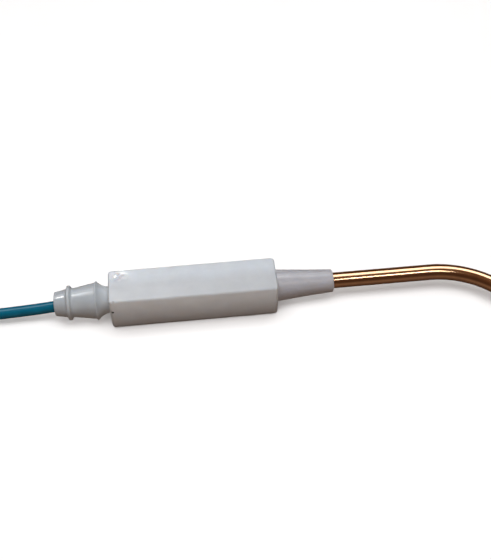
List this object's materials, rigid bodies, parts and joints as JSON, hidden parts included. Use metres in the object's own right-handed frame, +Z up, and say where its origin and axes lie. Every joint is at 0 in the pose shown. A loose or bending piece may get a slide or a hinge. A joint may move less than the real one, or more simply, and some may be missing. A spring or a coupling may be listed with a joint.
{
  "type": "thermocouple",
  "caption": "Sheathed thermocouple: square plastic splice housing, cable boot, nose sleeve, bent copper probe, and a coiled teal lead with a flat-blade plug.",
  "frame": {"origin": "centre of the housing's underside, on the surface that it rests on", "axes": "+X along the housing towards the copper sheath, +Z up, and the sheath's leg points along -Y"},
  "size_m": [0.281, 0.1168, 0.0152],
  "materials": {
    "housing_plastic": "satin",
    "boot_plastic": "satin",
    "sleeve_plastic": "satin",
    "copper": "polished",
    "brass": "satin",
    "mineral_powder": "matte",
    "thermocouple_alloy": "satin",
    "potting": "satin",
    "insulating_board": "matte",
    "sleeving": "satin",
    "core_white": "satin",
    "core_teal": "satin",
    "conductor": "bright",
    "cable_jacket": "gloss",
    "grommet_rubber": "satin",
    "plug_plastic": "satin",
    "screw_steel": "bright",
    "blade_alloy": "bright"
  },
  "bodies": {
    "root": {"housing_front_shell": "housing_plastic", "housing_rear_shell": "housing_plastic", "cable_boot": "boot_plastic", "nose_sleeve": "sleeve_plastic", "sheath_tube": "copper", "sheath_tip_cap": "copper", "mineral_insulation": "mineral_powder", "hot_junction_bead": "thermocouple_alloy", "positive_thermoelement": "thermocouple_alloy", "negative_thermoelement": "thermocouple_alloy", "sheath_seal_plug": "potting", "sheath_collar": "brass", "cable_clamp": "brass", "junction_divider": "insulating_board", "splice_barrel_positive": "brass", "splice_barrel_negative": "brass", "splice_insulator_positive": "sleeving", "splice_insulator_negative": "sleeving", "core_insulation_positive": "core_white", "core_insulation_negative": "core_teal", "core_conductor_positive": "conductor", "core_conductor_negative": "conductor", "cable_jacket_end": "cable_jacket", "cable_run": "cable_jacket", "cable_coil": "cable_jacket", "cable_tail": "cable_jacket", "plug_grommet": "grommet_rubber", "plug_base": "plug_plastic", "plug_cover": "plug_plastic", "plug_cover_screw": "screw_steel", "plug_terminal_screws": "screw_steel", "plug_blade_positive": "blade_alloy", "plug_blade_negative": "blade_alloy", "plug_jacket_end": "cable_jacket", "plug_core_positive": "core_white", "plug_core_negative": "core_teal", "plug_conductor_positive": "conductor", "plug_conductor_negative": "conductor"}
  },
  "joints": []
}
